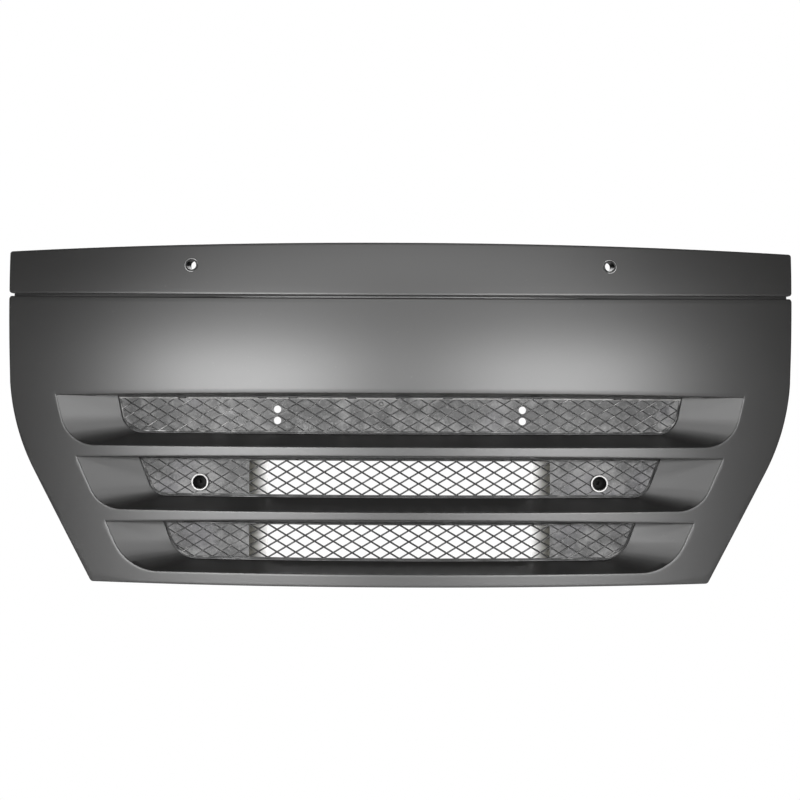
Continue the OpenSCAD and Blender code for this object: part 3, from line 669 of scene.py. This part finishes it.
def insertFinish():
    # moulded plastic with dust in it, a painted highlight on rib crowns, painted shade in deep recesses and
    # painted shadow and light on the ducts; the depth behind the insert's front is y less the arc of radius
    # rearR about the bow's axis, and tells crowns, ribs, webs, deep recesses and ducts apart
    finish, look = Finish("dustyInsert", Specular_IOR_Level=0.5), insertLook
    x, y, z = finish.axes()
    depth = y - (faceY + shape["bowR"]) + (rearR ** 2 - x * x).root()
    rimLow, rimHigh, closedLow, closedHigh = (footZ + level for level in look["rimZ"] + look["closedZ"])
    cloud = finish.noise(24.0, 7.0, 0.72)
    patch = finish.noise(7.0, 2.0, 0.5)
    fleck = finish.spread(finish.noise(240.0, 3.0, 0.6), 0.60, 0.70)
    nearGuide = finish.spread(guideDistance(x, z), *look["guideGlow"])
    dust = finish.spread(cloud + nearGuide * 0.10 + (patch - 0.5) * 0.35, 0.46, 0.66)
    base = finish.blend(dust, grey(look["bare"]), grey(look["dusty"], 0.005))
    base = finish.blend(finish.spread(patch, 0.56, 0.70) * 0.6, base, look["damp"])
    base = finish.blend(fleck * 0.35, base, grey(look["fleck"], 0.01))
    base = finish.blend(finish.spread(depth, *look["ribDepth"]), base, grey(look["rib"]))
    edge = finish.spread(z, rimLow, rimHigh) * finish.spread(cloud, 0.36, 0.50)
    base = finish.blend(edge * 0.8, base, grey(look["rim"], 0.02))
    # painted highlight: where the web is closed, the crowns of the ribs are lightened in patches, as if
    # catching the light
    closed = finish.spread(z, closedLow, closedHigh, 0.15)
    closed = closed + finish.spread(x.size(), *look["closedX"], 0.0, 0.85)
    crownHighlightPatches = finish.spread(finish.noise(38.0, 4.0, 0.6), 0.48, 0.64)
    crown = finish.spread(depth, *look["crownDepth"]) * crownHighlightPatches
    base = finish.blend(crown * closed * 0.5, base, grey(look["crown"], 0.01))
    # painted shade: whatever lies deeper than the ribs' shoulders is darkened nearly to black, including the
    # ribs' feet, the clip notches, the ring marks' hollows and the rim behind the frame
    base = finish.blend(finish.spread(depth, *look["hiddenDepth"]), base, grey(look["hidden"]))
    # painted shadow and painted light: the duct's side is dark where it meets the closed web, as if in its
    # shadow, and turns white further in to merge with the lit white behind
    inward = finish.spread(x.size(), *look["ductX"])
    duct = finish.blend(inward * inward, look["ductShadow"], grey(look["ductLight"], 0.01))
    ductMask = finish.spread(depth, *look["ductDepth"]) * finish.spread(x.size(), *look["ductEnd"])
    base = finish.blend(ductMask, base, duct)
    finish.feed(Base_Color=base, Roughness=finish.spread(cloud, 0.35, 0.65, 0.34, 0.62))
    return finish.bump(finish.noise(240.0, 5.0, 0.65), 0.00035).material


def gripped(x):
    # 1 where the distance from the centre lies within clipHalf of a clip, else 0
    return np.min([np.abs(np.abs(x) - clip) for clip in mesh["clips"]], axis=0) < mesh["clipHalf"]


def barRun(first, last, profile, steps):
    # bars: a profile of (across, back) carried along straight runs from first to last, seen from the front,
    # and set back by the insert's bow
    t = np.linspace(0, 1, steps)[None, :, None]
    run = first[:, None, :] * (1 - t) + last[:, None, :] * t
    way = (last - first) / np.linalg.norm(last - first, axis=1, keepdims=True)
    side = np.stack([way[:, 1], -way[:, 0]], -1)[:, None, None, :]
    flat = run[:, :, None, :] + side * profile[None, None, :, :1]
    back = bow(flat[..., 0], rearR) + profile[None, None, :, 1]
    return onPanel(flat[..., 0], back, flat[..., 1])


def addBars(sheet, bars):
    # skins each bar's rings of points with quads and closes both ends with a flat face
    for bar in bars:
        steps, sides = bar.shape[:2]
        faces = gridFaces(steps, sides, True).tolist()
        faces += [list(range(sides))[::-1], [(steps - 1) * sides + i for i in range(sides)]]
        sheet.loops(bar.reshape(-1, 3), faces)


def guideReach(x, z):
    # distance from the axis of the nearer key guide
    return np.hypot(np.abs(x) - guide["x"], z - guide["z"])


def insertRuns(slot, way):
    # one family of lozenge sides: the lines on which the height above the middle, in half pitches, plus or
    # minus x in half pitches is an odd number, cut off at the border and round the guides
    edge = insertEdge(slot, -mesh["gap"] - mesh["border"] * 0.5)
    top = slot["insertTop"] - mesh["gap"] - mesh["border"] * 0.5
    middle = (slot["insertTop"] + slot["insertLow"]) / 2
    tall = slot["insertTop"] - slot["insertLow"]
    z = slot["insertLow"] - 0.01 + (tall + 0.02) * np.linspace(0, 1, mesh["samples"])
    runs = []
    for k in range(-mesh["lines"], mesh["lines"] + 1):
        x = way * ((2 * k + 1) - (z - middle) / (mesh["pitchZ"] / 2)) * mesh["pitchX"] / 2
        inside = (np.abs(x) < edge["half"]) & (z < top) & (z > edgeHeight(edge, x))
        if slot["guides"]:
            inside &= guideReach(x, z) > guide["outer"] + mesh["guideGap"]
        turns = np.flatnonzero(np.diff(np.concatenate([[0], inside.astype(int), [0]])))
        for start, end in zip(turns[::2], turns[1::2] - 1):
            if end - start > mesh["shortest"]:
                runs.append([[x[start], z[start]], [x[end], z[end]]])
    return np.array(runs)


def borderPath(slot, inset):
    # closed path round the insert, inset from its outline: left end, lower edge, right end, upper edge
    edge = insertEdge(slot, -inset)
    u = np.concatenate([np.linspace(0, 1, 40, endpoint=False), np.linspace(1, 2, 14, endpoint=False),
                        np.linspace(2, 3, 8)])
    right = np.stack(edgePoint(edge, u), -1)
    left = right[::-1][:-1] * [-1, 1]
    top = np.linspace(1, -1, 401)[1:-1] * edge["half"]
    return np.concatenate([left, right, np.stack([top, np.full_like(top, edge["high"])], -1)])


def onInsert(x, z, back=None):
    # a point set back from the insert's bowed front, by webBack unless told otherwise
    return onPanel(x, bow(x, rearR) + (mesh["webBack"] if back is None else back), z)


def webPlate(sheet, x0, x1, slot, holes, radius, columnsAcross):
    # thin closed web behind the ribs: a straight blend in height from the lower to the upper edge, between
    # two distances from the centre
    edge = insertEdge(slot, -mesh["gap"])
    x = np.linspace(x0, x1, columnsAcross)
    low = np.where(np.abs(x) < edge["half"], edgeHeight(edge, x), edge["high"])
    t = np.linspace(0, 1, 22)[:, None]
    z = low * (1 - t) + (edge["high"] - mesh["webNotch"] * gripped(x)) * t
    across = np.broadcast_to(x, z.shape)
    part = Sheet()
    holedGrid(part, across, z, onInsert, holes, radius, rows=3, reach=1.45)
    plate = part.build("web", wall=mesh["webT"])
    data = plate.data
    points = np.empty(len(data.vertices) * 3)
    data.vertices.foreach_get("co", points)
    sheet.loops(points.reshape(-1, 3), [list(face.vertices) for face in data.polygons])
    bpy.data.objects.remove(plate)


def ringMark(sheet, x, z):
    # moulding mark: a low ring, its section (radius, back) turned about an axis through the web
    turn = np.linspace(0, 2 * math.pi, 20, endpoint=False)
    section = mesh["mark"] + mesh["mark"][:1]
    rings = [onInsert(x + r * np.cos(turn), z + r * np.sin(turn), back) for r, back in section]
    sheet.grid(np.stack(rings), closed=True)


def duct(sheet, slot, side):
    # side of the air duct behind the open mesh: from the closed web it runs evenly inwards while its setback
    # grows with the 0.6th power of the way gone
    s = np.linspace(0, 1, 14)
    x = slot["open"] - mesh["ductReach"] * s
    back = mesh["ductStart"] + mesh["ductDeep"] * s ** 0.6
    z = np.linspace(slot["insertLow"] + mesh["ductInset"], slot["insertTop"] - mesh["ductInset"], 4)
    loop = np.concatenate([np.stack([x, back], -1), np.stack([x, back + mesh["ductT"]], -1)[::-1]])
    grid = np.stack([onInsert(side * loop[:, 0], np.full(len(loop), h), loop[:, 1]) for h in z])
    sheet.grid(grid, closed=True, flip=side > 0)
    count = len(loop)
    first = sheet.count - grid.shape[0] * count
    low, high = list(range(first, first + count)), list(range(sheet.count - count, sheet.count))
    sheet.faces += [low, high[::-1]] if side > 0 else [low[::-1], high]


def grilleInsert(slot, material):
    # ribs carried along their runs, a border and a rim carried round the outline, then webs and ducts
    sheet = Sheet()
    deep, shoulder = mesh["deep"], mesh["shoulder"]
    for way, (foot, side, crown, back) in mesh["ribs"].items():
        half = [(-foot, deep), (-side, shoulder), (-crown, back)]
        profile = np.array(half + [(-across, fall) for across, fall in half[::-1]])
        runs = insertRuns(slot, way)
        addBars(sheet, barRun(runs[:, 0], runs[:, 1], profile, 7))
    # border: the same kind of profile carried round the outline, lower where a clip grips it
    wide = mesh["border"]
    rows = []
    top, slope = mesh["borderTop"], mesh["borderSide"]
    for inset, back, cut in ((0, deep, 0), (0, slope, 1), (wide * 0.2, top, 1), (wide * 0.8, top, 1),
                             (wide, slope, 1), (wide, deep, 0)):
        path = borderPath(slot, mesh["gap"] + inset)
        nearTop = path[:, 1] > slot["insertTop"] - mesh["clipDrop"]
        notch = cut * mesh["notch"] * gripped(path[:, 0]) * nearTop
        rows.append(onInsert(path[:, 0], path[:, 1], back + notch))
    rows.append(rows[0])
    sheet.grid(np.stack(rows), closed=True)
    # rim behind the frame of the panel
    rimRows = []
    out, into = -mesh["rimOut"], mesh["gap"] + mesh["rimIn"]
    for inset, back in ((out, mesh["rimFront"]), (into, mesh["rimStep"]), (into, mesh["rimBack"]),
                        (out, mesh["rimBack"])):
        path = borderPath(slot, inset)
        rimRows.append(onInsert(path[:, 0], path[:, 1], back))
    rimRows.append(rimRows[0])
    sheet.grid(np.stack(rimRows), closed=True)
    edge = insertEdge(slot, -mesh["gap"])
    middle = (slot["insertTop"] + slot["insertLow"]) / 2
    if slot["open"]:
        for side in (-1, 1):
            x0, x1 = sorted((side * slot["open"], side * (edge["half"] - 1e-4)))
            holes = [(side * guide["x"], guide["z"])] if slot["guides"] else []
            webPlate(sheet, x0, x1, slot, holes, guide["outer"] + mesh["guideGap"], 70)
            duct(sheet, slot, side)
    else:
        badgeX = mesh["badgeColumn"] * mesh["pitchX"] / 2
        holes = [(s * badgeX, middle + k * mesh["pitchZ"] / 2) for s in (-1, 1) for k in (-1, 1)]
        webPlate(sheet, -edge["half"] + 1e-4, edge["half"] - 1e-4, slot, holes, mesh["badge"], 320)
        for k in (-2, 2):
            ringMark(sheet, -mesh["pitchX"], middle + k * mesh["pitchZ"] / 2)
    piece = sheet.build("insert" + slot["name"], weld=1e-6)
    return finishPiece(piece, "flap", "insert_plastic", material, slot["node"])


insertPlastic = insertFinish()
insertPieces = [grilleInsert(slot, insertPlastic) for slot in slots]
print("inserts made", [len(piece.data.polygons) for piece in insertPieces])


def guideFinish():
    # pale rim front as a painted highlight, bore and outer edge dark as painted shade: the change lies at
    # fixed distances from the tube's axis
    finish = Finish("guidePlastic", Specular_IOR_Level=0.5)
    x, z = finish.axes()[::2]
    reach, bore, outer = guideDistance(x, z), guide["bore"], guide["outer"]
    wearAndHighlight = finish.noise(180.0, 4.0, 0.6)
    # painted highlight: the rim's front face is pale, patchy with the noise
    pale = finish.blend(finish.spread(wearAndHighlight, 0.35, 0.65), grey(0.32, 0.01), grey(0.52, 0.01))
    # painted shadow: darker from just inside the rim's outer edge outwards, over the tube's outside too
    pale = finish.blend(finish.spread(reach, outer - 0.0008, outer - 0.0002), pale, grey(0.03))
    # painted shade: nearly black on the bore's wall
    base = finish.blend(finish.spread(reach, bore + 0.0001, bore + 0.0005), grey(0.004), pale)
    finish.feed(Base_Color=base, Roughness=finish.spread(wearAndHighlight, 0.3, 0.7, 0.35, 0.5))
    return finish.bump(wearAndHighlight, 0.00004).material


def turned(name, sections, body, slot, material, node):
    # rings of points, each a whole turn, joined one to the next and back to the first
    sheet = Sheet()
    sheet.grid(np.stack(list(sections) + [sections[0]]), closed=True)
    return finishPiece(sheet.build(name, weld=1e-6, sharp=35), body, slot, material, node)


def keyGuide(side, name):
    # tube with a rounded rim, whose pale front is a painted highlight: its section (radius, back) turned
    # about an axis along y
    turn = -np.linspace(0, 2 * math.pi, 72, endpoint=False)
    bore, outer, front, back = guide["bore"], guide["outer"], guide["front"], guide["back"]
    wide, soft, step, stop = guide["round"], guide["edge"], guide["flangeFront"], guide["flangeBack"]
    section = [(bore, back), (bore, front + wide), (bore + soft, front + soft), (bore + wide, front),
               (outer - wide, front), (outer - soft, front + soft), (outer, front + wide), (outer, step),
               (guide["flange"], step), (guide["flange"], stop), (outer, stop), (outer, back)]
    across, up = np.cos(turn), np.sin(turn)
    rings = [onPanel(side * guide["x"] + r * across, y, guide["z"] + r * up) for r, y in section]
    return turned(name, rings, "flap", "guide_plastic", guidePlastic, "key_guide_" + name[5:].lower())


# sections of a collar, as (radius, setback)
collar = {
    "flange": [(0.0130, -0.0002), (0.0130, -0.0008), (0.0126, -0.0012), (0.0104, -0.0012), (0.0098, -0.0006),
               (0.0095, 0.0008)],
    "tube": [(0.0095, 0.006), (0.0095, 0.0125), (0.0095, 0.0255), (0.0100, 0.0259), (0.0115, 0.0259),
             (0.0115, 0.007)],
    "under": [(0.0115, 0.0008), (0.0115, -0.0002)],
}


def stripCollar(side, name):
    # rings of a given radius and setback: the flange follows the strip's face, the tube runs straight along
    # the face's normal, seen from above, which leans by the angle whose sine is x over the bow's radius
    turn = np.linspace(0, 2 * math.pi, 56, endpoint=False)
    x, z = side * strip["holeX"], strip["holeZ"]
    radius = shape["bowR"] - lean(z)
    swing = math.asin(x / radius)
    across = np.array([math.cos(swing), math.sin(swing)])
    inward = np.array([-math.sin(swing), math.cos(swing)])
    start = np.array([x, float(faceBack(x, z))])

    def onSkin(r, back):
        # a circle of radius r on the strip's face, set back from it
        return onFace(x + r * np.cos(turn), z + r * np.sin(turn), back)

    def inTube(r, back):
        # a circle of radius r square to the normal, back along it from the face
        plan = start + across * (r * np.cos(turn))[:, None] + inward * back
        return onPanel(plan[:, 0], plan[:, 1], z + r * np.sin(turn))

    rings = [onSkin(*row) for row in collar["flange"]] + [inTube(*row) for row in collar["tube"]]
    rings += [onSkin(*row) for row in collar["under"]]
    return turned(name, rings, "flap", "collar_metal", collarMetal, "strip_collar_" + name[6:].lower())


guidePlastic = guideFinish()
for side, word in ((-1, "Left"), (1, "Right")):
    stripCollar(side, "collar" + word)
    keyGuide(side, "guide" + word)
print("collars and guides made")

# frame nodes that keep their shape
nodeFinishes = {
    "joint_seal": foam, "strip_screws": zinc, "insert_screws_top": zinc, "insert_screws_middle": zinc,
    "insert_screws_bottom": zinc, "insert_clips_top": springSteel, "insert_clips_middle": springSteel,
    "insert_clips_bottom": springSteel, "top_rail": railPaint, "top_rail_bolts": zinc,
}
sideFinishes = {
    "side_rail": railPaint, "rail_screws": zinc,
    "bump_stop": rubber, "lock_housing": phosphate, "lock_clamp_nut": zinc, "lock_spindle": phosphate,
    "lock_cam": camSteel, "lock_cam_nut": zinc, "hinge_arm": railPaint, "arm_bolts": zinc,
    "hinge_bush": bronze, "hinge_bracket": railPaint, "hinge_pin": pinSteel, "pin_clip": springSteel,
}
for stem, material in sideFinishes.items():
    nodeFinishes.update({stem + "_left": material, stem + "_right": material})
for name, material in nodeFinishes.items():
    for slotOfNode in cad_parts[name].material_slots:
        slotOfNode.material = material
print("frame nodes finished")

studio = {
    "distance": 3.5, "lens": 79.7, "heightOnPanel": 0.371, "roll": 0.25,  # camera
    "floorDrop": 0.55, "floorHalf": 9.0,
    "backdrop": 1.0, "fill": 0.07,  # brightness of the white behind the object and of the room's own light
    # each softbox: place across and above the camera, how far in front, width, height, watts
    "boxes": [(-1.62, 0.19, 3.25, 2.1, 0.88, 138.0), (1.62, 0.19, 3.25, 2.1, 0.88, 118.0),
              (0.0, 2.4, 3.0, 5.2, 1.0, 66.0), (0.0, 1.2, -3.4, 3.0, 1.4, 60.0)],
}


def studioSet():
    # camera level with the panel and straight in front of it, pale floor, white surroundings that only the
    # camera sees, and softboxes turned to face the panel: each one's turn and tilt are the angles of the
    # line from the target to its place
    eye = onPanel(0.0, -studio["distance"], studio["heightOnPanel"])
    scene = bpy.context.scene
    scene.view_settings.view_transform = "Standard"
    lensData = bpy.data.cameras.new("camera")
    lensData.lens, lensData.sensor_width = studio["lens"], 36.0
    lensData.dof.use_dof = False
    camera = bpy.data.objects.new("camera", lensData)
    camera.location = eye
    camera.rotation_euler = (math.pi / 2, -math.radians(studio["roll"]), 0)
    scene.collection.objects.link(camera)
    scene.camera = camera
    # level floor, wide enough to fill the view from every side
    reach = np.linspace(-studio["floorHalf"], studio["floorHalf"], 3)
    points = np.stack(np.broadcast_arrays(reach[:, None], reach, footZ - studio["floorDrop"]), -1)
    stageSheet = Sheet()
    stageSheet.grid(points)
    floor = stageSheet.build("floor")
    paper = Finish("paleFloor", Roughness=0.9, Specular_IOR_Level=0.1)
    paper.feed(Base_Color=paper.blend(paper.noise(3.0), grey(0.76), grey(0.80)))
    glow = paper.node("ShaderNodeEmission", inputs={"Color": grey(1.0), "Strength": studio["backdrop"]})
    seen = paper.node("ShaderNodeLightPath")
    mixed = paper.node("ShaderNodeMixShader", inputs={0: seen, 2: glow})
    paper.tree.links.new(paper.shader.outputs[0], mixed.socket.node.inputs[1])
    paper.tree.links.new(mixed.socket, paper.out.inputs["Surface"])
    floor.data.materials.append(paper.material)
    world = bpy.data.worlds.new("studio")
    world.use_nodes = True
    tree = world.node_tree
    sky, path = tree.nodes["Background"], tree.nodes.new("ShaderNodeLightPath")
    level = tree.nodes.new("ShaderNodeMapRange")
    level.inputs["To Min"].default_value = studio["fill"]
    level.inputs["To Max"].default_value = studio["backdrop"]
    tree.links.new(path.outputs["Is Camera Ray"], level.inputs["Value"])
    tree.links.new(level.outputs[0], sky.inputs["Strength"])
    sky.inputs["Color"].default_value = (1, 1, 1, 1)
    scene.world = world
    target = onPanel(0.0, 0.1, studio["heightOnPanel"])
    for k, (x, rise, ahead, wide, high, power) in enumerate(studio["boxes"]):
        lamp = bpy.data.lights.new("softbox%d" % k, "AREA")
        lamp.shape, lamp.size, lamp.size_y, lamp.energy = "RECTANGLE", wide, high, power
        box = bpy.data.objects.new("softbox%d" % k, lamp)
        place = onPanel(x, -ahead, studio["heightOnPanel"] + rise)
        away = place - target
        tilt = math.pi / 2 - math.atan2(away[2], math.hypot(away[0], away[1]))
        box.location, box.rotation_euler = place, (tilt, 0, math.atan2(away[0], -away[1]))
        scene.collection.objects.link(box)


studioSet()
print("studio set")
